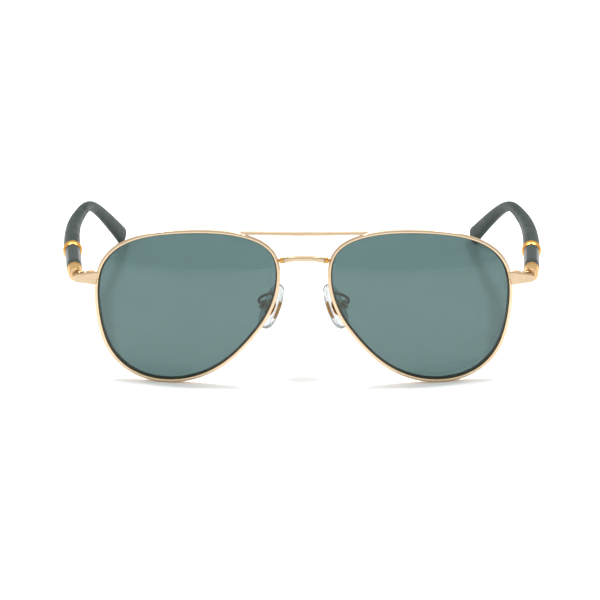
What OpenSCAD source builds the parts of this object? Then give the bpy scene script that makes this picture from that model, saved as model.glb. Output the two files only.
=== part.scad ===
// Aviator sunglasses: a wire front with a straight brow bar, rocking nose pads and folding temples.
// Millimetres. +X is the wearer's left, +Y runs back along the temples, +Z is up.
// The glasses stand open on a table, on the rims' lower edges and the two temple tips.
// The origin is at table height, below the middle of the box round the open glasses.

/* [Lenses] */
// Distance from the middle plane to each lens centre
lens_x = 37; // [36.9:0.05:37.1]
// Radius of the lens's front surface
lens_r = 88; // [87:0.5:89]
// Turn of each lens round the face, in degrees
lens_wrap = 5; // [4.8:0.1:5.2]
// Thickness of the lens
lens_t = 1.8; // [1.6:0.1:1.9]

/* [Rims] */
// Width of the rim wire outside its inner lip
rim_w = 1.1; // [1:0.05:1.15]
// Depth of the rim wire, front to back
rim_d = 2.1; // [2:0.05:2.2]
// Opening between the rim's two ends at the closing block
rim_split = 0.15; // [0.1:0.05:0.3]

/* [Bridges] */
// Height of the brow bar's centre above the table
brow_z = 49.55; // [49.5:0.05:49.8]
// Half the length of the brow bar
brow_half = 20; // [19:0.5:21]
// Height of the brow bar's section
brow_h = 1.2; // [1:0.1:1.3]
// Height of the lower bridge's centre above the table
bridge_z = 42.2; // [41.8:0.1:42.6]

/* [Nose pads] */
// Length of each pad
pad_len = 15; // [14:0.5:15.5]
// Width of each pad
pad_w = 7.5; // [7:0.25:7.75]
// Thickness of each pad at its middle
pad_t = 2.3; // [2.2:0.05:2.5]
// Splay of the pads, in degrees from the middle plane
pad_splay = 40; // [39:1:41]
// Lean of the pads' tops towards the middle, in degrees
pad_lean = 27; // [26:1:28]

/* [Hinges] */
// Radius of the hinge barrels
knuckle_r = 1.45; // [1.4:0.05:1.5]
// Height of the whole barrel stack
knuckle_h = 3.2; // [3.1:0.1:3.4]
// Height of the middle barrel
middle_h = 1.4; // [1.3:0.1:1.5]
// Radius of the hinge screw's shank
hinge_pin_r = 0.6; // [0.55:0.05:0.65]

/* [Temples] */
// Fall of the temples towards the back, in degrees
temple_pitch = 4.5; // [4.4:0.1:4.6]
// Outward turn of the temples' front, in degrees
temple_yaw = 3.2; // [3:0.1:3.4]
// Length of the gold ferrule
ferrule_len = 8.1; // [7.5:0.1:8.5]
// Length of the polished barrel, from the ferrule to the ring
barrel_len = 25; // [24:0.5:25.5]
// Length of the gold ring behind the barrel
ring_len = 2.8; // [2.4:0.1:3]
// Radius of the gold ring
ring_r = 3.1; // [3:0.05:3.2]
// Radius of the core wire inside the temple
core_r = 0.65; // [0.5:0.05:0.65]

/* [Hidden] */
$fn = 48;

// Colours
gold = [0.90, 0.78, 0.60];
amber = [0.80, 0.58, 0.26];
tint = [0.43, 0.53, 0.52, 0.85];
silicone = [0.90, 0.92, 0.93, 0.6];
polished_green = [0.20, 0.27, 0.24];
satin_green = [0.34, 0.38, 0.36];

// Middle of the box, front to back, measured from the lens apex plane
middle_y = 77.6;
// Height of the lens centre above the table
lens_z = 26.14;
// Control points of the rim's inner lip: u out from the lens centre, w up
lip = [[-27.5, 0.5], [-20.5, -9.5], [-11.5, -19.5], [1, -25.5], [15.5, -25], [25.5, -16.5],
    [28.5, -2], [28.5, 12.5], [18, 21.5], [0, 24], [-16, 23.5], [-29.5, 17.5]];
// Stations round the rim and the lens
rim_steps = 72;
// Where the rim is split, in control-point intervals
split_at = 6.64;
// Corner of the rim wire that is taken off, and depth of its front lip
rim_chamfer = 0.25;
rim_front = 0.5;
// Groove for the lens: where it starts and ends, its floor and the floor's depth
groove = [0.1, 1.2];
groove_floor = [0.55, 0.75];
groove_depth = 0.42;
// The lens edge stands back from the lip, and its bevel stands into the groove
lens_inset = 0.06;
bevel_out = 0.36;

// Centre, top and bottom of the closing block, and the gap between its halves
block_z = 33.2;
block_top = 1.75;
block_bottom = 1.9;
block_gap = 0.15;
block_screw = [67, 9.65];
lock_r = 0.6;
screw_clearance = 0.02;
// Solder gap between a rim and what is seated on it
seat_gap = 0.02;

// Pad centre, pivot of the pad in the pad's own axes, and the parts round the pivot
pad_at = [9.9, 9, 23.8];
pad_pivot = [3, -0.5];
pad_pin_r = 0.42;
boss_w = 1.3;
boss_r = 0.85;
box_wall = 0.45;
box_gap = 0.1;
box_len = 2.8;
box_depth = 2.4;

// Hinge pivot, hinge clearances and where the temple's axis starts
pivot = [70.4, 12.4, 32.5];
knuckle_gap = 0.05;
pin_clearance = 0.05;
sweep_r = knuckle_r + 0.15;
temple_start = [72.1, 11.9, 33.25];
tang_plan = [[-0.2, 1.4], [0, 0], [2.6, 0.3], [2.9, 5], [1.3, 5]];

// Radii along the temple's front: ferrule, barrel and the start of the satin sleeve
ferrule_r = [2, 2.3];
barrel_r = [2.45, 2.55];
core_bore_r = core_r + 0.08;
core_start = 5.6;
sleeve_start = ferrule_len + barrel_len + ring_len;
temple_dir = [sin(temple_yaw), cos(temple_yaw) * cos(temple_pitch), -cos(temple_yaw) * sin(temple_pitch)];
// Satin sleeve of the temple: x, y, z of each control point, then its width and height there
sleeve_from = temple_start + sleeve_start * temple_dir;
sleeve = [[each sleeve_from, 5.5, 5.5],
    [each sleeve_from + 16 * temple_dir, 5.2, 5.3],
    [75.1, 86, 27.3, 4.5, 4.8],
    [73.4, 102, 26.1, 3.7, 4.1],
    [71, 118, 25.2, 2.9, 3.1],
    [66.6, 134, 16, 3.1, 4.3],
    [61, 153.8, 2.52, 3.2, 6]];
sleeve_steps = 5;
sleeve_sides = 16;
// The core wire ends this many control-point intervals along the sleeve
core_end = 5.4;

// ---- Curves and skins ----

function unit(v) = v / norm(v);
function xyz(p) = [p[0], p[1], p[2]];

// One piece of a uniform cubic spline
function spline(a, b, c, d, t) =
    (pow(1 - t, 3) * a + (3 * pow(t, 3) - 6 * t * t + 4) * b
    + (1 + 3 * t + 3 * t * t - 3 * pow(t, 3)) * c + pow(t, 3) * d) / 6;

function closed_curve(pts, s) =
    let (n = len(pts), i = floor(s), t = s - i)
    spline(pts[(i + n - 1) % n], pts[i % n], pts[(i + 1) % n], pts[(i + 2) % n], t);

// An open spline that starts on its first point and ends on its last
function open_curve(pts, s) =
    let (n = len(pts),
        all = [2 * pts[0] - pts[1], each pts, 2 * pts[n - 1] - pts[n - 2]],
        i = min(floor(s), n - 2))
    spline(all[i], all[i + 1], all[i + 2], all[i + 3], s - i);

function curve_dir(pts, s) =
    let (step = 0.01)
    unit(xyz(open_curve(pts, min(s + step, len(pts) - 1))) - xyz(open_curve(pts, max(s - step, 0))));

// Points of a closed section round `at`, anticlockwise about dir; power 1 is an ellipse
function section(at, dir, wide, high, sides, power = 1) =
    let (across = unit(cross([0, 0, 1], dir)), up = cross(dir, across))
    [for (k = [0 : sides - 1])
        let (a = 360 * k / sides, c = cos(a), s = sin(a))
        at + sign(c) * pow(abs(c), power) * wide / 2 * across + sign(s) * pow(abs(s), power) * high / 2 * up];

// A closed skin over equal rings, each end fanned to its own middle point
module skin(rings, first, last) {
    m = len(rings[0]);
    n = len(rings);
    end = n * m + 1;
    points = [first, for (ring = rings) each ring, last];
    polyhedron(points, [
        for (j = [0 : m - 1]) [0, 1 + j, 1 + (j + 1) % m],
        for (j = [0 : m - 1]) [end, end - m + (j + 1) % m, end - m + j],
        for (i = [0 : n - 2]) for (j = [0 : m - 1])
            let (a = 1 + i * m + j, b = a + m, c = 1 + (i + 1) * m + (j + 1) % m, d = c - m)
            each [[a, b, c], [a, c, d]]]);
}

// A round or oval bar along an open spline of [x, y, z, width, height] points
module bar(pts, steps, sides, power = 1) {
    last = len(pts) - 1;
    rings = [for (k = [0 : steps])
        let (s = last * k / steps, p = open_curve(pts, s))
        section(xyz(p), curve_dir(pts, s), p[3], p[4], sides, power)];
    skin(rings, xyz(pts[0]), xyz(pts[last]));
}

module placed() {
    translate([0, -middle_y, 0])
        children();
}

// Draws a left-hand part as it is, or mirrored for the wearer's right
module sided(side) {
    placed()
        mirror([side == "right" ? 1 : 0, 0, 0])
            children();
}

module both_sides() {
    for (side = ["right", "left"])
        sided(side)
            children();
}

// ---- Rims and lenses ----

// Point at [u, w] on the lens's front surface, moved back by b along the surface's normal
function on_lens(at, b) =
    let (sag = lens_r - sqrt(lens_r * lens_r - at * at), k = b / lens_r,
        u = at[0] * (1 - k), d = sag + k * (lens_r - sag), w = at[1] * (1 - k))
    [lens_x + u * cos(lens_wrap) - d * sin(lens_wrap), u * sin(lens_wrap) + d * cos(lens_wrap), lens_z + w];

function outward(s) =
    let (step = 0.001, d = unit(closed_curve(lip, s + step) - closed_curve(lip, s - step)))
    [d[1], -d[0]];

// A section [a out from the lip, b back] placed at s round the rim
function rim_ring(s, profile) =
    [for (p = profile) on_lens(closed_curve(lip, s) + p[0] * outward(s), p[1])];

rim_profile = [[rim_chamfer / 2, -rim_front], [rim_w - rim_chamfer, -rim_front],
    [rim_w, rim_chamfer - rim_front], [rim_w, rim_d - rim_front - rim_chamfer],
    [rim_w - rim_chamfer, rim_d - rim_front], [rim_chamfer / 2, rim_d - rim_front],
    [0, rim_d - rim_front - rim_chamfer / 2], [0, groove[1]], [groove_depth, groove_floor[1]],
    [groove_depth, groove_floor[0]], [0, groove[0]], [0, rim_chamfer / 2 - rim_front]];

// Interval of the closed outline that is half the split wide
split_half = rim_split / norm(closed_curve(lip, split_at + 1) - closed_curve(lip, split_at)) / 2;

module rim() {
    n = len(lip);
    middle = [0.75, (groove_floor[0] + groove_floor[1]) / 2];
    stops = [split_at + split_half, for (k = [1 : rim_steps - 1]) split_at + n * k / rim_steps,
        split_at + n - split_half];
    rings = [for (s = stops) rim_ring(s, rim_profile)];
    color(gold)
        skin(rings, rim_ring(stops[0], [middle])[0], rim_ring(stops[rim_steps], [middle])[0]);
}

// One closed ring of the lens, drawn in towards the lens centre by scale
function lens_ring(inset, b, scale = 1) =
    [for (k = [0 : rim_steps - 1])
        let (s = split_at + len(lip) * k / rim_steps)
        on_lens(scale * (closed_curve(lip, s) + inset * outward(s)), b)];

module lens() {
    bevel_z = (groove_floor[0] + groove_floor[1]) / 2;
    faces = [0.25, 0.5, 0.75, 1];
    rings = [
        for (f = faces) lens_ring(-lens_inset, lens_t, f),
        lens_ring(-lens_inset, bevel_z + 0.48),
        lens_ring(bevel_out, bevel_z + 0.03),
        lens_ring(bevel_out, bevel_z - 0.03),
        lens_ring(-lens_inset, bevel_z - 0.48),
        for (i = [len(faces) - 1 : -1 : 0]) lens_ring(-lens_inset, 0, faces[i])];
    color(tint)
        skin(rings, on_lens([0, 0], lens_t), on_lens([0, 0], 0));
}

// ---- Brow bar and bridge ----

// The rim's outer shape between two stations, to cut a seat on it; front is the cut's front depth
module rim_saddle(from, to, front = -1.5) {
    steps = 8;
    profile = [[-1, front], [rim_w + seat_gap, front], [rim_w + seat_gap, 3], [-1, 3]];
    stops = [for (k = [0 : steps]) from + (to - from) * k / steps];
    rings = [for (s = stops) rim_ring(s, profile)];
    skin(rings, rim_ring(from, [[0, 0.5]])[0], rim_ring(to, [[0, 0.5]])[0]);
}

module brow_bar() {
    ends = 3.75;
    middle = 3;
    color(gold) difference() {
        bar([[-brow_half, ends, brow_z, 1.2, brow_h], [-brow_half * 0.7, ends - 0.15, brow_z, 1.4, brow_h],
            [-brow_half * 0.3, middle, brow_z, 1.4, brow_h], [brow_half * 0.3, middle, brow_z, 1.4, brow_h],
            [brow_half * 0.7, ends - 0.15, brow_z, 1.4, brow_h], [brow_half, ends, brow_z, 1.2, brow_h]],
            16, 12, 0.8);
        rim_saddle(9.8, 10.6);
        mirror([1, 0, 0])
            rim_saddle(9.8, 10.6);
    }
}

// Lower bridge: a rounded bar between two collared necks that stop at the rims
module bridge() {
    shoulder = [6.3, 2.2, bridge_z - 1.1];
    neck_end = [7.86, 3.42, bridge_z - 1.52];
    run = neck_end - shoulder;
    neck_r = 0.5;
    collar_r = 0.95;
    collar_len = 1.2;
    color(gold) bar([[-6.3, 2.2, bridge_z - 1.1, 1.4, 1.5], [-5.2, 1.1, bridge_z - 0.5, 1.5, 1.75],
        [-3, 0.6, bridge_z, 1.5, 1.75], [0, 0.7, bridge_z, 1.5, 1.6], [3, 0.6, bridge_z, 1.5, 1.75],
        [5.2, 1.1, bridge_z - 0.5, 1.5, 1.75], [6.3, 2.2, bridge_z - 1.1, 1.4, 1.5]], 18, 14, 0.8);
    color(gold) for (m = [0, 1])
        mirror([m, 0, 0])
            translate(shoulder)
                rotate([0, acos(run[2] / norm(run)), atan2(run[1], run[0])]) {
                    translate([0, 0, -0.4])
                        cylinder(h = norm(run) + 0.4, r = neck_r);
                    cylinder(h = collar_len, r = collar_r);
                }
}

// ---- Endpieces and closing blocks ----

corner_at = [71.3, 9.4];
corner_r = 1.5;
butt_y = 11.6;
plate_back = [[71.9, butt_y], [71.4, 9.6], [65.2, 7.97], [64.4, 7.8]];

// The endpiece before it is seated on the rim: a tapered plate that turns back at its outer end
module plate() {
    plan = [[64.4, 6.15], for (a = [-75 : 15 : 0]) corner_at + corner_r * [cos(a), sin(a)],
        [corner_at[0] + corner_r, butt_y], each plate_back];
    front = [[65.6, 31.7], [71.9, 32.1], [72.5, 32.3], [72.8, 32.8], [72.8, 33.4], [72.5, 33.9],
        [71.8, 34.3], [64.5, 35.8]];
    intersection() {
        translate([0, 0, 30])
            linear_extrude(8)
                polygon(plan);
        translate([0, 15, 0])
            rotate([90, 0, 0])
                linear_extrude(15)
                    polygon(front);
    }
}

module endpiece() {
    color(gold) difference() {
        plate();
        rim_saddle(6, 7.4, -rim_front - seat_gap);
    }
}

// Two blocks on the rim's ends, drawn together by the rim screw
module closing_block() {
    plan = [[65.2, 8], [68.7, 8.92], [68.7, 10.3], [68.2, 10.8], [66.2, 10.8], [64.9, 9.6]];
    color(gold) difference() {
        translate([0, 0, block_z - block_bottom])
            linear_extrude(block_top + block_bottom)
                polygon(plan);
        rim_saddle(6.2, 7.1);
        translate([60, 5, block_z - block_gap / 2])
            cube([12, 10, block_gap]);
        translate([each block_screw, block_z - 3])
            cylinder(h = 6, r = lock_r + screw_clearance);
    }
}

// A slotted cheese-head screw, shank down, with the underside of its head at z = 0
module screw(shank_r, shank_len, head_r, head_h, slot_w) {
    color(gold) difference() {
        union() {
            translate([0, 0, -shank_len])
                cylinder(h = shank_len, r = shank_r);
            cylinder(h = head_h * 0.6, r = head_r);
            translate([0, 0, head_h * 0.6])
                cylinder(h = head_h * 0.4, r1 = head_r, r2 = head_r * 0.85);
        }
        translate([-head_r - 1, -slot_w / 2, head_h * 0.5])
            cube([2 * head_r + 2, slot_w, head_h]);
    }
}

module rim_screw() {
    translate([each block_screw, block_z + block_top])
        rotate([0, 0, 25])
            screw(lock_r, block_top + block_bottom, 0.95, 0.4, 0.25);
}

// ---- Nose pads ----

// The pad's own axes: X away from the nose, Y along its width, Z along its length
module at_pad() {
    translate(pad_at)
        rotate([0, 0, -pad_splay])
            rotate([0, -pad_lean, 0])
                children();
}

module at_pad_pivot() {
    at_pad()
        translate([pad_pivot[0], 0, pad_pivot[1]])
            rotate([90, 0, 0])
                children();
}

// Outline of the pad: an oval, fuller below, at one depth and drawn in by inset
function pad_outline(x, inset, sides) =
    [for (k = [0 : sides - 1])
        let (a = 360 * k / sides, fuller = 1 - 0.1 * sin(a))
        [x, (pad_w / 2 - inset) * fuller * cos(a), (pad_len / 2 - inset) * sin(a)]];

module pad_body() {
    sides = 28;
    half = pad_t / 2;
    rings = [pad_outline(-half, 1.9, sides), pad_outline(-half + 0.18, 1, sides),
        pad_outline(-half + 0.5, 0.4, sides), pad_outline(-half + 1, 0.05, sides),
        pad_outline(half - 0.7, 0, sides), pad_outline(half - 0.25, 0.25, sides),
        pad_outline(half, 0.9, sides)];
    skin(rings, [-half, 0, 0], [half, 0, 0]);
}

// The metal core of the pad: a flat oval plate with a drilled boss on its back
module core_shape() {
    plate = [0.5, 4, 5.5];
    translate([0.1, 0, pad_pivot[1]])
        rotate([0, 90, 0])
            linear_extrude(plate[0])
                union() {
                    square([plate[2] - plate[1], plate[1]], center = true);
                    for (end = [-1, 1])
                        translate([end * (plate[2] - plate[1]) / 2, 0])
                            circle(d = plate[1]);
                }
    translate([0.3, -boss_w / 2, pad_pivot[1] - boss_r])
        cube([pad_pivot[0] - 0.3, boss_w, 2 * boss_r]);
    translate([pad_pivot[0], 0, pad_pivot[1]])
        rotate([90, 0, 0])
            cylinder(h = boss_w, r = boss_r, center = true);
}

module nose_pad() {
    color(silicone) at_pad()
        difference() {
            pad_body();
            core_shape();
        }
}

module pad_core() {
    color(amber) difference() {
        at_pad()
            core_shape();
        at_pad_pivot()
            cylinder(h = 4, r = pad_pin_r + pin_clearance, center = true);
    }
}

// Open box on the end of the pad arm that holds the pad's boss between its cheeks
module pad_box() {
    inside = boss_w + 2 * box_gap;
    outside = inside + 2 * box_wall;
    front = pad_pivot[0] - 1.2;
    color(gold) difference() {
        at_pad()
            difference() {
                translate([front, -outside / 2, pad_pivot[1] - box_len / 2])
                    cube([box_depth, outside, box_len]);
                translate([front - 1, -inside / 2, pad_pivot[1] - box_len / 2 + box_wall / 2])
                    cube([box_depth + 1 - box_wall / 2, inside, box_len - box_wall]);
            }
        at_pad_pivot()
            cylinder(h = 4, r = pad_pin_r + screw_clearance, center = true);
    }
}

module pad_screw() {
    half = boss_w / 2 + box_gap + box_wall;
    at_pad_pivot()
        translate([0, 0, half])
            screw(pad_pin_r, 2 * half, 0.75, 0.35, 0.2);
}

module pad_arm() {
    wire = 1;
    color(gold) bar([[8.75, 3.72, 28.9, wire, wire], [8.9, 5.1, 29.1, wire, wire], [10.3, 6.4, 29.1, wire, wire],
        [12.6, 6.4, 28.4, wire, wire], [14.4, 5.9, 27.1, wire, wire], [13.9, 5.85, 25.9, wire, wire],
        [13, 6.42, 25.27, wire, wire]], 22, 10);
}

// ---- Hinges ----

// The hinge's own axes: origin at the pivot, Z up the pin, Y back along the temple
module at_hinge() {
    translate(pivot)
        rotate([-temple_pitch, 0, 0])
            children();
}

// Front leaf: two outer barrels on a web behind the endpiece
module hinge_front() {
    web_top = 1.3;
    web_bottom = -1.1;
    gap_half = middle_h / 2 + knuckle_gap;
    web_plan = [[-knuckle_r, 0], [-knuckle_r, -4.4], [1, -4.4], [1.2, -0.8]];
    bore_r = hinge_pin_r + screw_clearance;
    color(gold) difference() {
        at_hinge()
            difference() {
                union() {
                    translate([0, 0, -knuckle_h / 2])
                        cylinder(h = knuckle_h, r = knuckle_r);
                    translate([0, 0, web_bottom])
                        linear_extrude(web_top - web_bottom)
                            polygon(web_plan);
                }
                translate([0, 0, -gap_half])
                    cylinder(h = 2 * gap_half, r = sweep_r);
                translate([0, 0, -knuckle_h])
                    cylinder(h = 2 * knuckle_h, r = bore_r);
            }
        plate();
        translate([60, 0, 25])
            cube([15, 8.9, 15]);
    }
}

module hinge_screw() {
    at_hinge()
        translate([0, 0, knuckle_h / 2])
            rotate([0, 0, -35])
                screw(hinge_pin_r, knuckle_h, 1, 0.3, 0.25);
}

// Rear leaf: the middle barrel with a tang that sits in a slot in the ferrule
module hinge_rear() {
    color(gold) at_hinge()
        difference() {
            translate([0, 0, -middle_h / 2])
                linear_extrude(middle_h)
                    union() {
                        circle(r = knuckle_r);
                        polygon(tang_plan);
                    }
            translate([0, 0, -middle_h])
                cylinder(h = 2 * middle_h, r = hinge_pin_r + pin_clearance);
        }
}

// ---- Temples ----

// Lays a turned part along the temple's axis, its start at the front face of the ferrule
module on_temple_axis() {
    translate(temple_start)
        rotate([-temple_pitch, 0, 0])
            rotate([0, 0, -temple_yaw])
                rotate([-90, 0, 0])
                    children();
}

module ferrule() {
    lip_len = 0.6;
    color(gold) difference() {
        on_temple_axis()
            rotate_extrude()
                polygon([[0, 0], [ferrule_r[0] - 0.15, 0], [ferrule_r[0], 0.15],
                    [ferrule_r[1], ferrule_len - lip_len], [ferrule_r[1] + 0.1, ferrule_len - lip_len],
                    [ferrule_r[1] + 0.1, ferrule_len], [0, ferrule_len]]);
        on_temple_axis()
            translate([0, 0, core_start])
                cylinder(h = ferrule_len, r = core_bore_r);
        at_hinge() {
            translate([0, 0, -5])
                cylinder(h = 10, r = sweep_r);
            translate([0, 0, -middle_h / 2])
                linear_extrude(middle_h)
                    polygon(tang_plan);
        }
    }
}

module barrel() {
    edge = 0.3;
    color(polished_green) on_temple_axis()
        rotate_extrude()
            polygon([[core_bore_r, ferrule_len], [barrel_r[0] - edge, ferrule_len],
                [barrel_r[0], ferrule_len + edge], [barrel_r[1], ferrule_len + barrel_len],
                [core_bore_r, ferrule_len + barrel_len]]);
}

module temple_ring() {
    start = ferrule_len + barrel_len;
    color(amber) on_temple_axis()
        rotate_extrude()
            polygon([[core_bore_r, start], [ring_r - 0.5, start], [ring_r, start + 0.9],
                [ring_r, start + ring_len - 0.2], [ring_r - 0.2, start + ring_len],
                [core_bore_r, start + ring_len]]);
}

// Rings of the sleeve, or of its bore when round_d is given
function sleeve_rings(from, to, round_d = 0) =
    [for (k = [round(from * sleeve_steps) : round(to * sleeve_steps)])
        let (s = k / sleeve_steps, p = open_curve(sleeve, s))
        section(xyz(p), curve_dir(sleeve, s), round_d > 0 ? round_d : p[3], round_d > 0 ? round_d : p[4],
            sleeve_sides, round_d > 0 ? 1 : 0.9)];

// Satin sleeve with a blind bore for the core wire, in one skin that starts at the bore's end
module temple() {
    last = len(sleeve) - 1;
    tip = open_curve(sleeve, last);
    tip_dir = curve_dir(sleeve, last);
    bore = sleeve_rings(0, core_end + 1 / sleeve_steps, 2 * core_bore_r);
    bore_tip = xyz(open_curve(sleeve, core_end + 1 / sleeve_steps));
    rings = [for (i = [len(bore) - 1 : -1 : 0]) bore[i], each sleeve_rings(0, last),
        section(xyz(tip) + 0.5 * tip_dir, tip_dir, tip[3] - 0.9, tip[4] - 1.2, sleeve_sides, 0.9)];
    color(satin_green)
        skin(rings, bore_tip, xyz(tip) + 0.55 * tip_dir);
}

module core_wire() {
    straight = [for (at = [core_start + 0.1, sleeve_start])
        section(temple_start + at * temple_dir, temple_dir, 2 * core_r, 2 * core_r, sleeve_sides)];
    bent = sleeve_rings(1 / sleeve_steps, core_end, 2 * core_r);
    rings = [each straight, each bent];
    color(amber)
        skin(rings, temple_start + (core_start + 0.1) * temple_dir, xyz(open_curve(sleeve, core_end)));
}

sided("right") rim();  // right_rim
sided("left") rim();  // left_rim
sided("right") lens();  // right_lens
sided("left") lens();  // left_lens
placed() brow_bar();
placed() bridge();
sided("right") endpiece();  // right_endpiece
sided("left") endpiece();  // left_endpiece
sided("right") closing_block();  // right_closing_block
sided("left") closing_block();  // left_closing_block
both_sides() rim_screw();  // rim_screws
sided("right") pad_arm();  // right_pad_arm
sided("left") pad_arm();  // left_pad_arm
sided("right") pad_box();  // right_pad_box
sided("left") pad_box();  // left_pad_box
both_sides() pad_screw();  // pad_screws
sided("right") nose_pad();  // right_nose_pad
sided("left") nose_pad();  // left_nose_pad
sided("right") pad_core();  // right_pad_core
sided("left") pad_core();  // left_pad_core
sided("right") hinge_front();  // right_hinge_front
sided("left") hinge_front();  // left_hinge_front
both_sides() hinge_screw();  // hinge_screws
sided("right") hinge_rear();  // right_hinge_rear
sided("left") hinge_rear();  // left_hinge_rear
sided("right") ferrule();  // right_ferrule
sided("left") ferrule();  // left_ferrule
sided("right") barrel();  // right_barrel
sided("left") barrel();  // left_barrel
sided("right") temple_ring();  // right_ring
sided("left") temple_ring();  // left_ring
sided("right") temple();  // right_temple
sided("left") temple();  // left_temple
sided("right") core_wire();  // right_core_wire
sided("left") core_wire();  // left_core_wire
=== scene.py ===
"""Looks of the aviator sunglasses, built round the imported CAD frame.

Shapes are worked out in millimetres from the lens apex plane, as in the CAD source, and
row() turns them into the frame's metres. Left-hand parts are drawn, right-hand ones mirrored.
"""

import math

import bmesh
import bpy
import numpy as np
from mathutils import Matrix, Vector


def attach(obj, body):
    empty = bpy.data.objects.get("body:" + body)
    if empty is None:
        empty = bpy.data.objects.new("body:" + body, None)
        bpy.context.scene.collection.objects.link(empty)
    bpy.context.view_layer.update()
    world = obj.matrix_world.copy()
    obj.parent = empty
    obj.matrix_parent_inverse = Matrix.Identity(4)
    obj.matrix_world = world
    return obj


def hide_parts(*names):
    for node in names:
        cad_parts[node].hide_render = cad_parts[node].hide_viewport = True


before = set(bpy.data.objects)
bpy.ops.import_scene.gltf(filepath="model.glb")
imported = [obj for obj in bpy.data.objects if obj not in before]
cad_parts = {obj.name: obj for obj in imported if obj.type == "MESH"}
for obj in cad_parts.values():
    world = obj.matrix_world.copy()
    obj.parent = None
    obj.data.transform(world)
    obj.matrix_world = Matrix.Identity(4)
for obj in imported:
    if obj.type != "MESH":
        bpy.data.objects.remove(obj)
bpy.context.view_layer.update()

SIDES = {"right": -1, "left": 1}

# Lenses and rims, as in the CAD source
MIDDLE_Y = 77.6
LENS_X = 37.0
LENS_Z = 26.14
LENS_R = 88.0
LENS_T = 1.8
LENS_WRAP = math.radians(5)
# Control points of the rim's inner lip, seen along the lens's axis
LIP = [(-27.5, 0.5), (-20.5, -9.5), (-11.5, -19.5), (1, -25.5), (15.5, -25), (25.5, -16.5),
       (28.5, -2), (28.5, 12.5), (18, 21.5), (0, 24), (-16, 23.5), (-29.5, 17.5)]
# Where the closing block parts the rim, and half the gap, counted in control points round the lip
SPLIT_AT = 6.64
SPLIT_HALF = 0.0052

# Temple axis: start at the ferrule's front, fall and outward turn
TEMPLE_START = np.array([72.1, 11.9, 33.25])
TEMPLE_PITCH = math.radians(4.5)
TEMPLE_YAW = math.radians(3.2)
TEMPLE_DIR = np.array([
    math.sin(TEMPLE_YAW),
    math.cos(TEMPLE_YAW) * math.cos(TEMPLE_PITCH),
    -math.cos(TEMPLE_YAW) * math.sin(TEMPLE_PITCH),
])
FERRULE_END = 8.1
BARREL_END = 33.1
RING_END = 35.9


# ---- Curves ----

def unit(v):
    """Vectors along the last axis, made one long."""
    return v / np.linalg.norm(v, axis=-1, keepdims=True)


def spline(a, b, c, d, t):
    """One piece of a uniform cubic spline, t from 0 to 1."""
    t = t[:, None]
    return ((1 - t) ** 3 * a + (3 * t**3 - 6 * t * t + 4) * b
            + (1 + 3 * t + 3 * t * t - 3 * t**3) * c + t**3 * d) / 6


def closed_curve(points, s):
    """A smooth loop drawn by its control points; s counts them."""
    points = np.array(points, float)
    n = len(points)
    i = np.floor(s).astype(int)
    return spline(points[(i - 1) % n], points[i % n], points[(i + 1) % n], points[(i + 2) % n], s - i)


def open_curve(points, s):
    """A spline that starts on its first point and ends on its last."""
    points = np.array(points, float)
    n = len(points)
    points = np.vstack([2 * points[0] - points[1], points, 2 * points[-1] - points[-2]])
    i = np.clip(np.floor(s).astype(int), 0, n - 2)
    return spline(points[i], points[i + 1], points[i + 2], points[i + 3], s - i)


def along_line(points, start, along):
    """Coordinates (across, up, along) about a line to millimetres."""
    across = unit(np.cross([0, 0, 1], along))
    up = np.cross(along, across)
    return start + points[..., :1] * across + points[..., 1:2] * up + points[..., 2:] * along


def row(points):
    """Millimetres from the lens apex plane to the frame's metres."""
    return (np.asarray(points, float) - [0, MIDDLE_Y, 0]) / 1000


def rounded(outline, radius, steps=4):
    """A closed outline with each corner replaced by a small arc."""
    points = np.array(outline, float)
    found = []
    for i, at in enumerate(points):
        to_before = points[i - 1] - at
        to_after = points[(i + 1) % len(points)] - at
        reach = min(radius, np.linalg.norm(to_before) * 0.45, np.linalg.norm(to_after) * 0.45)
        start = at + unit(to_before) * reach
        end = at + unit(to_after) * reach
        for t in np.linspace(0, 1, steps):
            found.append((1 - t) ** 2 * start + 2 * t * (1 - t) * at + t * t * end)
    return np.array(found)


def squared(value, power):
    """A sine or cosine raised to a power with its sign kept: below 1 it squares a circle up."""
    return np.sign(value) * np.abs(value) ** power


def sections(path, wide, high, sides, power):
    """Rings of a bar along a path, each square to it; power 1 is an ellipse."""
    path = np.asarray(path, float)
    along = unit(np.gradient(path, axis=0))
    across = unit(np.cross([0, 0, 1], along))
    up = np.cross(along, across)
    angle = np.linspace(0, 2 * math.pi, sides, endpoint=False)
    sideways = wide[:, None] / 2 * squared(np.cos(angle), power)
    upwards = high[:, None] / 2 * squared(np.sin(angle), power)
    return path[:, None] + sideways[..., None] * across[:, None] + upwards[..., None] * up[:, None]


# ---- Meshes ----

def mesh_of(name, points, faces, side=1, sharp=40):
    """A mesh in the frame's metres, mirrored for the wearer's right, smooth below the sharp angle."""
    mesh = bpy.data.meshes.new(name)
    mesh.from_pydata((row(points) * [side, 1, 1]).tolist(), [], faces)
    built = bmesh.new()
    built.from_mesh(mesh)
    bmesh.ops.recalc_face_normals(built, faces=built.faces)
    built.to_mesh(mesh)
    built.free()
    mesh.shade_smooth()
    mesh.set_sharp_from_angle(angle=math.radians(sharp))
    return mesh


def skin(name, rings, side=1, sharp=40):
    """A closed skin over equal rings, its ends closed flat."""
    rings = np.asarray(rings, float)
    n, m = rings.shape[:2]
    faces = [(i * m + j, i * m + (j + 1) % m, (i + 1) * m + (j + 1) % m, (i + 1) * m + j)
             for i in range(n - 1) for j in range(m)]
    faces += [tuple(range(m)), tuple(range((n - 1) * m, n * m))]
    return mesh_of(name, rings.reshape(-1, 3), faces, side, sharp)


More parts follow.
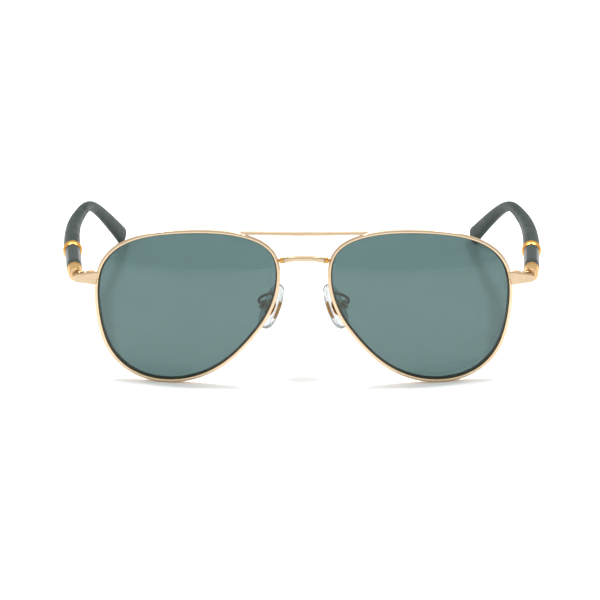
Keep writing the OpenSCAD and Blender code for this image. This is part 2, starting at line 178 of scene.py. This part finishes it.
def bar(name, controls, steps, sides, power, side=1, end=0.0):
    """A bar along a spline of (x, y, z, width, height); end rounds its two ends by that much."""
    at = open_curve(controls, np.linspace(0, len(controls) - 1, steps))
    path, wide, high = at[:, :3], at[:, 3], at[:, 4]
    if end:
        run = np.concatenate([[0], np.cumsum(np.linalg.norm(np.diff(path, axis=0), axis=1))])
        inside = np.minimum(run, run[-1] - run) > end * 1.2
        turn = np.linspace(0, math.pi / 2, 6)
        depth = end * (1 - np.cos(turn))
        shrink = 2 * end * (1 - np.sin(turn))
        places = np.concatenate([depth, run[inside], (run[-1] - depth)[::-1]])
        cut = np.concatenate([shrink, np.zeros(inside.sum()), shrink[::-1]])
        path = np.stack([np.interp(places, run, path[:, i]) for i in range(3)], 1)
        wide = np.interp(places, run, wide) - cut
        high = np.interp(places, run, high) - cut
    return skin(name, sections(path, wide, high, sides, power), side)


def lathe(name, profile, place, side=1, steps=96, sharp=30):
    """A turned part: profile is (radius, distance along), place takes axis coordinates to millimetres."""
    profile = np.asarray(profile, float)
    angle = np.linspace(0, 2 * math.pi, steps, endpoint=False)
    ring = np.stack([np.cos(angle), np.sin(angle)], 1)
    flat = profile[:, 0, None, None] * ring[None]
    depth = np.broadcast_to(profile[:, 1, None, None], flat.shape[:2] + (1,))
    return skin(name, place(np.concatenate([flat, depth], 2)), side, sharp)


def piece(name, mesh, finish, body, slot, *nodes):
    """Puts a mesh in the scene, riding on its body and standing for its CAD nodes."""
    obj = bpy.data.objects.new(name, mesh)
    bpy.context.scene.collection.objects.link(obj)
    mesh.materials.append(finish)
    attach(obj, body)
    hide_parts(*nodes)
    return obj


def eased(name, node, width, finish, body, slot):
    """A copy of a machined CAD part with its sharp edges broken."""
    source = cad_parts[node].data
    mesh = bpy.data.meshes.new(name)
    mesh.from_pydata([v.co[:] for v in source.vertices], [], [p.vertices[:] for p in source.polygons])
    built = bmesh.new()
    built.from_mesh(mesh)
    bmesh.ops.remove_doubles(built, verts=built.verts, dist=3e-6)
    bmesh.ops.dissolve_limit(built, angle_limit=math.radians(1), verts=built.verts, edges=built.edges)
    built.to_mesh(mesh)
    built.free()
    mesh.shade_smooth()
    obj = piece(name, mesh, finish, body, slot, node)
    bevel = obj.modifiers.new("broken edges", "BEVEL")
    bevel.width = width / 1000
    bevel.segments = 3
    bevel.limit_method = "ANGLE"
    bevel.angle_limit = math.radians(32)
    bevel.harden_normals = True
    return obj


# ---- Finishes ----

def put(tree, kind, inputs=None, **settings):
    """Adds a shader node; an input that is a socket is linked, any other is set."""
    made = tree.nodes.new(kind)
    for key, value in settings.items():
        setattr(made, key, value)
    for key, value in (inputs or {}).items():
        if isinstance(value, bpy.types.NodeSocket):
            tree.links.new(value, made.inputs[key])
        else:
            made.inputs[key].default_value = value
    return made


def blank(name):
    """An empty material: its tree and its object coordinates in metres."""
    made = bpy.data.materials.new(name)
    made.use_nodes = True
    made.node_tree.nodes.clear()
    place = put(made.node_tree, "ShaderNodeTexCoord").outputs["Object"]
    return made, made.node_tree, place


def grain(tree, place, size, detail=2.0, roughness=0.5, stretch=(1, 1, 1)):
    """Noise whose features are about size metres across, drawn out along an axis by stretch."""
    moved = put(tree, "ShaderNodeMapping", {"Vector": place, "Scale": stretch}).outputs["Vector"]
    return put(tree, "ShaderNodeTexNoise", {
        "Vector": moved, "Scale": 1 / size, "Detail": detail, "Roughness": roughness}).outputs["Fac"]


def ranged(tree, value, low, high, start=0.3, end=0.7):
    """Takes start..end of a value to low..high."""
    return put(tree, "ShaderNodeMapRange", {
        "Value": value, "From Min": start, "From Max": end,
        "To Min": low, "To Max": high}).outputs["Result"]


def between(tree, value, first, second):
    """A colour that runs from first to second with value."""
    mixed = put(tree, "ShaderNodeMix", data_type="RGBA")
    tree.links.new(value, mixed.inputs[0])
    mixed.inputs[6].default_value = (*first, 1)
    mixed.inputs[7].default_value = (*second, 1)
    return mixed.outputs[2]


def bumped(tree, height, depth, strength=1.0, under=None):
    """A normal from a height, depth in metres, laid over another normal when given."""
    inputs = {"Height": height, "Distance": depth, "Strength": strength}
    if under is not None:
        inputs["Normal"] = under
    return put(tree, "ShaderNodeBump", inputs).outputs["Normal"]


def finished(tree, shader):
    """Sends a shader to the material's output."""
    put(tree, "ShaderNodeOutputMaterial", {"Surface": shader})


def metal(name, colour, deep, rough, brushed=(1, 1, 1), edge=(1, 0.86, 0.62)):
    """Plated metal: faint tone changes, fine polishing marks and handling haze."""
    made, tree, place = blank(name)
    tone = ranged(tree, grain(tree, place, 0.004, 3), 0, 1)
    haze = grain(tree, place, 0.0012, 4, 0.6)
    marks = grain(tree, place, 0.00012, 2, 0.5, brushed)
    shader = put(tree, "ShaderNodeBsdfPrincipled", {
        "Base Color": between(tree, tone, colour, deep),
        "Metallic": 1.0,
        "Specular Tint": (*edge, 1),
        "Roughness": ranged(tree, haze, rough, rough * 1.7),
        "Normal": bumped(tree, marks, 0.0000012)})
    finished(tree, shader.outputs["BSDF"])
    return made


def turned_metal(name, colour, deep, rough):
    """Metal turned on the temple's axis: fine rings that the lathe tool left."""
    made, tree, place = blank(name)
    tone = ranged(tree, grain(tree, place, 0.003, 3), 0, 1)
    marks = grain(tree, place, 0.00025, 3, 0.6)
    shader = put(tree, "ShaderNodeBsdfPrincipled", {
        "Base Color": between(tree, tone, colour, deep),
        "Metallic": 1.0,
        "Specular Tint": (1, 0.8, 0.5, 1),
        "Anisotropic": 0.6,
        "Roughness": ranged(tree, marks, rough, rough * 1.5),
        "Normal": bumped(tree, marks, 0.000002)})
    finished(tree, shader.outputs["BSDF"])
    return made


def tinted(name, share):
    """Lens tint: each surface lets share of each colour through, and reflects more as it tilts away."""
    made, tree, place = blank(name)
    smear = grain(tree, place, 0.012, 3, 0.6)
    paler = tuple(min(1, c * 1.03) for c in share)
    through = put(tree, "ShaderNodeBsdfTransparent", {
        "Color": between(tree, ranged(tree, smear, 0, 1), share, paler)})
    coat = put(tree, "ShaderNodeBsdfPrincipled", {
        "Base Color": (0.93, 0.96, 0.97, 1),
        "Metallic": 1.0,
        "Roughness": ranged(tree, smear, 0.02, 0.05)})
    tilt = put(tree, "ShaderNodeLayerWeight", {"Blend": 0.5}).outputs["Facing"]
    rise = put(tree, "ShaderNodeMath", {0: tilt, 1: 5.0}, operation="POWER").outputs["Value"]
    mirror = ranged(tree, rise, 0.04, 1, 0, 1)
    mixed = put(tree, "ShaderNodeMixShader", {
        "Fac": mirror, 1: through.outputs["BSDF"], 2: coat.outputs["BSDF"]})
    finished(tree, mixed.outputs["Shader"])
    return made


def dark_edge(name):
    """The lens's ground edge, matt and near black."""
    made, tree, place = blank(name)
    ground = grain(tree, place, 0.0002, 3)
    shader = put(tree, "ShaderNodeBsdfPrincipled", {
        "Base Color": between(tree, ground, (0.010, 0.018, 0.018), (0.022, 0.034, 0.034)),
        "Roughness": ranged(tree, ground, 0.45, 0.65),
        "Normal": bumped(tree, ground, 0.000004)})
    finished(tree, shader.outputs["BSDF"])
    return made


def enamel(name, colour, deep):
    """Glossy green lacquer with a clear coat and a faint orange peel."""
    made, tree, place = blank(name)
    tone = ranged(tree, grain(tree, place, 0.006, 3), 0, 1)
    peel = grain(tree, place, 0.0011, 2)
    dust = grain(tree, place, 0.0003, 4, 0.7)
    shader = put(tree, "ShaderNodeBsdfPrincipled", {
        "Base Color": between(tree, tone, colour, deep),
        "Roughness": ranged(tree, dust, 0.2, 0.3),
        "Specular IOR Level": 0.0,
        "Coat Weight": 0.5,
        "Coat IOR": 1.3,
        "Coat Roughness": 0.05,
        "Normal": bumped(tree, peel, 0.000003)})
    finished(tree, shader.outputs["BSDF"])
    return made


def satin(name, colour, deep):
    """Bead-blasted green sleeve: fine grain, softer where it has been handled."""
    made, tree, place = blank(name)
    tone = ranged(tree, grain(tree, place, 0.009, 4, 0.6), 0, 1)
    blasted = grain(tree, place, 0.00013, 3, 0.7)
    worn = grain(tree, place, 0.004, 3)
    shader = put(tree, "ShaderNodeBsdfPrincipled", {
        "Base Color": between(tree, tone, colour, deep),
        "Roughness": ranged(tree, worn, 0.36, 0.46),
        "Specular IOR Level": 0.05,
        "Normal": bumped(tree, blasted, 0.0000035)})
    finished(tree, shader.outputs["BSDF"])
    return made


def clear_silicone(name):
    """Moulded clear silicone, a little milky, with tiny ripples."""
    made, tree, place = blank(name)
    cloud = grain(tree, place, 0.002, 3)
    ripple = grain(tree, place, 0.0006, 2)
    shader = put(tree, "ShaderNodeBsdfPrincipled", {
        "Base Color": between(tree, ranged(tree, cloud, 0, 1), (0.60, 0.63, 0.64), (0.54, 0.57, 0.58)),
        "Roughness": ranged(tree, cloud, 0.1, 0.18),
        "IOR": 1.41,
        "Transmission Weight": 0.97,
        "Normal": bumped(tree, ripple, 0.000006)})
    finished(tree, shader.outputs["BSDF"])
    return made


pale_gold = metal("pale gold", (0.66, 0.52, 0.365), (0.62, 0.475, 0.32), 0.16)
# A warmer copy of the gold for the rim wire's sides and back: painted reflection, not a second metal
painted_reflection_side_gold = metal("side gold with painted reflection", (0.70, 0.49, 0.27), (0.64, 0.43, 0.22), 0.10)
satin_gold = metal("satin gold", (0.57, 0.445, 0.30), (0.53, 0.405, 0.265), 0.28, (1, 8, 1))
amber_gold = metal("amber gold", (0.76, 0.42, 0.12), (0.68, 0.35, 0.09), 0.24, edge=(1, 0.7, 0.3))
deep_amber = metal("deep amber", (0.62, 0.30, 0.06), (0.54, 0.24, 0.04), 0.2, edge=(1, 0.6, 0.2))
screw_gold = metal("screw gold", (0.76, 0.55, 0.32), (0.68, 0.47, 0.26), 0.2, (6, 1, 1))
turned_gold = turned_metal("turned gold", (0.70, 0.50, 0.29), (0.62, 0.42, 0.23), 0.2)
core_steel = metal("core steel", (0.60, 0.59, 0.57), (0.52, 0.51, 0.50), 0.3, edge=(1, 1, 1))
lens_tint = tinted("green lens tint", (0.264, 0.351, 0.346))
lens_edge = dark_edge("ground lens edge")
gloss_green = enamel("gloss green", (0.012, 0.024, 0.020), (0.009, 0.019, 0.016))
satin_green = satin("satin green", (0.021, 0.034, 0.029), (0.016, 0.027, 0.023))
silicone = clear_silicone("clear silicone")


# ---- Rims and lenses ----

def on_lens(u, w, b):
    """Point at (u, w) on the lens's front surface, moved back by b along its normal."""
    sag = LENS_R - np.sqrt(LENS_R**2 - u * u - w * w)
    k = b / LENS_R
    u, w, d = u * (1 - k), w * (1 - k), sag + k * (LENS_R - sag)
    cos, sin = math.cos(LENS_WRAP), math.sin(LENS_WRAP)
    return np.stack([LENS_X + u * cos - d * sin, u * sin + d * cos, LENS_Z + w], -1)


def lip_at(s):
    """The rim's inner lip and its outward direction at s."""
    at = closed_curve(LIP, s)
    along = unit(closed_curve(LIP, s + 0.001) - closed_curve(LIP, s - 0.001))
    return at, np.stack([along[:, 1], -along[:, 0]], 1)


# Section of the rim's wire, out from the lip and back: crowned front, bevelled edges, groove for the lens
WIRE = rounded([(0.02, -0.34), (0.30, -0.5), (0.78, -0.5), (1.1, -0.28), (1.1, 1.38), (0.88, 1.6),
                (0.12, 1.6), (0, 1.46), (0, 1.2), (0.42, 0.75), (0.42, 0.55), (0, 0.1)], 0.11)
# Faces of the wire in front of this depth take the paler gold, the rest a warmer gold: a painted
# reflection, the one wire coloured by which way its faces look
CROWN_DEPTH = -0.38


def rim(side):
    """The grooved wire bent round the lens, open at the closing block's split."""
    s = np.linspace(SPLIT_AT + SPLIT_HALF, SPLIT_AT + len(LIP) - SPLIT_HALF, 337)
    at, out = lip_at(s)
    spot = at[:, None] + WIRE[None, :, 0, None] * out[:, None]
    back = np.broadcast_to(WIRE[None, :, 1], spot.shape[:2])
    mesh = skin("rim wire", on_lens(spot[..., 0], spot[..., 1], back), side, 50)
    # Painted reflection: crown faces get the pale gold, side, back and groove faces the warmer copy
    across = (WIRE[:, 1] + np.roll(WIRE[:, 1], -1)) / 2
    for face in mesh.polygons[:len(s) * len(WIRE) - len(WIRE)]:
        face.material_index = 1 if across[face.index % len(WIRE)] < CROWN_DEPTH else 0
    return mesh


def lens(side):
    """The lens as one skin from the middle of its back, over its bevelled edge, to its front."""
    s = SPLIT_AT + np.linspace(0, len(LIP), 240, endpoint=False)
    at, out = lip_at(s)
    scales = np.linspace(0.03, 1, 14)
    # Each ring's scale, its reach beyond the rim's lip, and its depth from the front surface
    stations = [(scale, -0.06, LENS_T) for scale in scales]
    stations += [(1, -0.06, 1.13), (1, 0.36, 0.68), (1, 0.36, 0.62), (1, -0.06, 0.17)]
    stations += [(scale, -0.06, 0.0) for scale in scales[::-1]]
    rings = []
    for scale, beyond, back in stations:
        spot = scale * (at + beyond * out)
        rings.append(on_lens(spot[:, 0], spot[:, 1], back))
    mesh = skin("tinted lens", rings, side, 30)
    # The front of the bevel is dark; behind it the rim's gold shows through
    first_edge = (len(scales) + 1) * len(s)
    last_edge = (len(scales) + 4) * len(s)
    for face in mesh.polygons:
        on_edge = first_edge <= face.index < last_edge
        face.material_index = 1 if on_edge else 0
    return mesh


for side, sign in SIDES.items():
    # The rim wire's warmer gold on its sides and pale gold on its crown are a painted reflection
    wire = piece(f"{side}_rim_wire", rim(sign), painted_reflection_side_gold, "front", "gold_frame", f"{side}_rim")
    wire.data.materials.append(pale_gold)
    glass = piece(f"{side}_tinted_lens", lens(sign), lens_tint, "front", "tinted_lens", f"{side}_lens")
    glass.data.materials.append(lens_edge)


# ---- Brow bar and bridge ----

brow = [(-20, 3.75, 49.55, 1.2, 1.2), (-14, 3.6, 49.55, 1.4, 1.2), (-6, 3, 49.55, 1.4, 1.2),
        (6, 3, 49.55, 1.4, 1.2), (14, 3.6, 49.55, 1.4, 1.2), (20, 3.75, 49.55, 1.2, 1.2)]
brow_mesh = bar("brow bar", brow, 120, 36, 0.8, end=0.2)
piece("brow_bar_rod", brow_mesh, satin_gold, "front", "gold_frame", "brow_bar")

arch = [(-6.3, 2.2, 41.1, 1.4, 1.5), (-5.2, 1.1, 41.7, 1.5, 1.75), (-3, 0.6, 42.2, 1.5, 1.75),
        (0, 0.7, 42.2, 1.5, 1.6), (3, 0.6, 42.2, 1.5, 1.75), (5.2, 1.1, 41.7, 1.5, 1.75),
        (6.3, 2.2, 41.1, 1.4, 1.5)]
arch_mesh = bar("bridge arch", arch, 110, 36, 0.8, end=0.25)
piece("bridge_arch", arch_mesh, satin_gold, "front", "gold_frame", "bridge")


NECK_START = np.array([6.3, 2.2, 41.1])
NECK_END = np.array([7.86, 3.42, 40.68])


def on_neck(points):
    """Coordinates about the line from the arch's shoulder to the rim, to millimetres."""
    return along_line(points, NECK_START, unit(NECK_END - NECK_START))


# Two collars on the neck's pin; as in every turned profile, (radius, distance along the axis)
NECK = [(0.5, -0.4), (0.5, -0.02), (0.84, 0.0), (0.92, 0.06), (0.95, 0.14), (0.95, 0.5), (0.88, 0.54),
        (0.88, 0.66), (0.95, 0.7), (0.95, 1.06), (0.92, 1.14), (0.84, 1.2), (0.54, 1.22), (0.5, 1.3),
        (0.5, 2.02)]
for side, sign in SIDES.items():
    piece(f"{side}_bridge_neck", lathe("bridge neck", NECK, on_neck, sign, 48),
          amber_gold, "front", "gold_frame", "bridge")


# ---- Endpieces, closing blocks, screws and hinges ----

for side in SIDES:
    eased(f"{side}_endpiece_plate", f"{side}_endpiece", 0.14, satin_gold, "front", "gold_frame")
    eased(f"{side}_rim_blocks", f"{side}_closing_block", 0.12, pale_gold, "front", "gold_frame")
    eased(f"{side}_hinge_leaf", f"{side}_hinge_front", 0.08, pale_gold, "front", "gold_frame")
    eased(f"{side}_hinge_tang", f"{side}_hinge_rear", 0.06, pale_gold, f"{side}_temple", "gold_frame")
    eased(f"{side}_pad_housing", f"{side}_pad_box", 0.08, pale_gold, "front", "gold_frame")
    eased(f"{side}_pad_insert", f"{side}_pad_core", 0.06, deep_amber, f"{side}_pad", "amber_gold")
    eased(f"{side}_ferrule_cap", f"{side}_ferrule", 0.08, turned_gold, f"{side}_temple", "gold_frame")
eased("rim_lock_screws", "rim_screws", 0.05, screw_gold, "front", "gold_screws")
eased("pad_cross_screws", "pad_screws", 0.04, screw_gold, "front", "gold_screws")
eased("hinge_pin_screws", "hinge_screws", 0.05, screw_gold, "front", "gold_screws")


# ---- Nose pads ----

PAD_AT = np.array([9.9, 9, 23.8])
PAD_SPLAY = math.radians(40)
PAD_LEAN = math.radians(27)
PAD_TURN = Matrix.Rotation(-PAD_SPLAY, 3, "Z") @ Matrix.Rotation(-PAD_LEAN, 3, "Y")
PAD_HALF_W = 3.75
PAD_HALF_L = 7.5
PAD_FULLER = 0.1
# Depth and inset of the pad's outline, from the nose side to the arm side
PAD_SHAPE = [(-1.15, 2.6), (-1.12, 1.8), (-1.04, 1.2), (-0.9, 0.75), (-0.7, 0.42), (-0.45, 0.18),
             (-0.15, 0.05), (0.15, 0), (0.45, 0.02), (0.7, 0.12), (0.9, 0.3), (1.04, 0.55), (1.12, 0.9),
             (1.15, 1.3)]


def pad(side):
    """The pad's skin: a squared oval, fuller below, drawn in towards its two faces."""
    angle = np.linspace(0, 2 * math.pi, 72, endpoint=False)
    fuller = 1 - PAD_FULLER * np.sin(angle)
    across = fuller * squared(np.cos(angle), 0.8)
    along = squared(np.sin(angle), 0.85)
    rings = []
    for depth, inset in PAD_SHAPE:
        wide = (PAD_HALF_W - inset) * across
        tall = (PAD_HALF_L - inset) * along
        rings.append(np.stack([np.full_like(angle, depth), wide, tall], 1))
    placed = np.array(rings) @ np.array(PAD_TURN).T + PAD_AT
    return skin("nose pad", placed, side, 60)


arm = [(8.75, 3.72, 28.9, 1, 1), (8.9, 5.1, 29.1, 1, 1), (10.3, 6.4, 29.1, 1, 1), (12.6, 6.4, 28.4, 1, 1),
       (14.4, 5.9, 27.1, 1, 1), (13.9, 5.85, 25.9, 1, 1), (13, 6.42, 25.27, 1, 1)]
for side, sign in SIDES.items():
    piece(f"{side}_silicone_pad", pad(sign), silicone, f"{side}_pad", "clear_silicone", f"{side}_nose_pad")
    piece(f"{side}_pad_wire", bar("pad arm", arm, 90, 20, 1, sign),
          pale_gold, "front", "gold_frame", f"{side}_pad_arm")


# ---- Temples ----

def on_axis(points):
    """Coordinates about the temple's axis to millimetres."""
    return along_line(points, TEMPLE_START, TEMPLE_DIR)


# Both turned parts are hollow for the core wire
BORE_R = 1.6
BARREL = [(BORE_R, FERRULE_END + 0.02), (2.15, FERRULE_END + 0.02), (2.3, FERRULE_END + 0.06),
          (2.41, FERRULE_END + 0.18), (2.45, FERRULE_END + 0.34), (2.47, 14), (2.51, 24),
          (2.54, BARREL_END - 0.3), (2.55, BARREL_END), (BORE_R, BARREL_END)]
COLLAR = [(BORE_R, BARREL_END), (2.56, BARREL_END), (2.64, BARREL_END + 0.06), (3.04, BARREL_END + 0.8),
          (3.1, BARREL_END + 0.96), (3.1, RING_END - 0.26), (3.04, RING_END - 0.12), (2.9, RING_END),
          (BORE_R, RING_END)]
# Places along the sleeve, with its width and height there
sleeve = [(*(TEMPLE_START + RING_END * TEMPLE_DIR), 5.5, 5.5),
          (*(TEMPLE_START + (RING_END + 16) * TEMPLE_DIR), 5.2, 5.3),
          (75.1, 86, 27.3, 4.5, 4.8), (73.4, 102, 26.1, 3.7, 4.1), (71, 118, 25.2, 2.9, 3.1),
          (66.6, 134, 16, 3.1, 4.3), (61, 153.8, 2.52, 3.2, 6)]


def sleeve_skin(side):
    """The satin sleeve, its front edge eased and its tip cut square with broken edges."""
    at = open_curve(sleeve, np.linspace(0, len(sleeve) - 1, 200))
    path, wide, high = at[:, :3], at[:, 3], at[:, 4]
    tip = unit(path[-1] - path[-2])
    ease = np.array([[0.12, 0.18], [0.32, 0.5], [0.46, 0.9]])
    path = np.vstack([path, path[-1] + ease[:, :1] * tip])
    wide = np.concatenate([wide, wide[-1] - ease[:, 1]])
    high = np.concatenate([high, high[-1] - ease[:, 1] * 1.3])
    wide[0] -= 0.3
    high[0] -= 0.3
    return skin("satin sleeve", sections(path, wide, high, 48, 0.9), side, 60)


for side, sign in SIDES.items():
    body = f"{side}_temple"
    piece(f"{side}_gloss_barrel", lathe("gloss barrel", BARREL, on_axis, sign),
          gloss_green, body, "gloss_green", f"{side}_barrel")
    piece(f"{side}_amber_collar", lathe("amber collar", COLLAR, on_axis, sign),
          amber_gold, body, "amber_gold", f"{side}_ring")
    piece(f"{side}_satin_sleeve", sleeve_skin(sign), satin_green, body, "satin_green", f"{side}_temple")
    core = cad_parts[f"{side}_core_wire"]
    core.data.materials.clear()
    core.data.materials.append(core_steel)


# ---- Stage, light and camera ----

def area_light(name, at, size, power, aim=(0, 0, 0.02)):
    """A rectangular softbox at a point, aimed at the glasses."""
    data = bpy.data.lights.new(name, "AREA")
    data.shape = "RECTANGLE"
    data.size, data.size_y = size
    data.energy = power
    obj = bpy.data.objects.new(name, data)
    bpy.context.scene.collection.objects.link(obj)
    obj.location = at
    obj.rotation_euler = (Vector(aim) - Vector(at)).to_track_quat("-Z", "Y").to_euler()


floor_mesh = bpy.data.meshes.new("floor")
floor_mesh.from_pydata([(-4, -4, 0), (4, -4, 0), (4, 4, 0), (-4, 4, 0)], [], [(0, 1, 2, 3)])
floor = bpy.data.objects.new("floor", floor_mesh)
bpy.context.scene.collection.objects.link(floor)
white, white_tree, white_place = blank("white table")
cloudy = grain(white_tree, white_place, 0.3, 2)
finished(white_tree, put(white_tree, "ShaderNodeBsdfPrincipled", {
    "Base Color": between(white_tree, cloudy, (0.93, 0.93, 0.93), (0.95, 0.95, 0.95)),
    "Roughness": 0.9}).outputs["BSDF"])
floor_mesh.materials.append(white)

scene = bpy.context.scene
scene.view_settings.view_transform = "Standard"

world = bpy.data.worlds.new("studio")
scene.world = world
world.use_nodes = True
sky = world.node_tree
sky.nodes.clear()
direction = put(sky, "ShaderNodeTexCoord").outputs["Generated"]
height = put(sky, "ShaderNodeSeparateXYZ", {"Vector": direction}).outputs["Z"]
shade = put(sky, "ShaderNodeValToRGB", {"Fac": height})
shade.color_ramp.elements[0].position = 0.0
shade.color_ramp.elements[0].color = (0.83, 0.83, 0.83, 1)
shade.color_ramp.elements[1].position = 0.8
shade.color_ramp.elements[1].color = (0.87, 0.87, 0.87, 1)
glow = put(sky, "ShaderNodeBackground", {"Color": shade.outputs["Color"], "Strength": 1.0})
put(sky, "ShaderNodeOutputWorld", {"Surface": glow.outputs["Background"]})

for name, x in (("left key", 0.56), ("right key", -0.56)):
    area_light(name, (x, 0.05, 1.39), (0.13, 0.13), 10)
area_light("top softbox", (0, 0.15, 1.25), (1.2, 1.0), 4.5)

camera_data = bpy.data.cameras.new("camera")
camera_data.sensor_width = 36
camera_data.lens = 285.3
camera_data.clip_start = 0.05
camera_data.clip_end = 20
camera = bpy.data.objects.new("camera", camera_data)
scene.collection.objects.link(camera)
# The view falls by ELEVATION towards the floor under the lenses, from DISTANCE away, and is then
# raised, swung and rolled to frame the glasses
ELEVATION = math.radians(19)
TURN = math.radians(0.8)
DISTANCE = 1.5
RAISE = math.radians(1.0458)
SWING = math.radians(0.0482)
ROLL = math.radians(0.25)
level = math.cos(ELEVATION)
ahead = Vector((math.sin(TURN) * level, math.cos(TURN) * level, -math.sin(ELEVATION)))
target = Vector((0, -MIDDLE_Y / 1000, 0))
camera.location = target - DISTANCE * ahead
aim = ahead.to_track_quat("-Z", "Y").to_matrix()
aim = aim @ Matrix.Rotation(RAISE, 3, "X") @ Matrix.Rotation(SWING, 3, "Y") @ Matrix.Rotation(ROLL, 3, "Z")
camera.rotation_euler = aim.to_euler()
scene.camera = camera
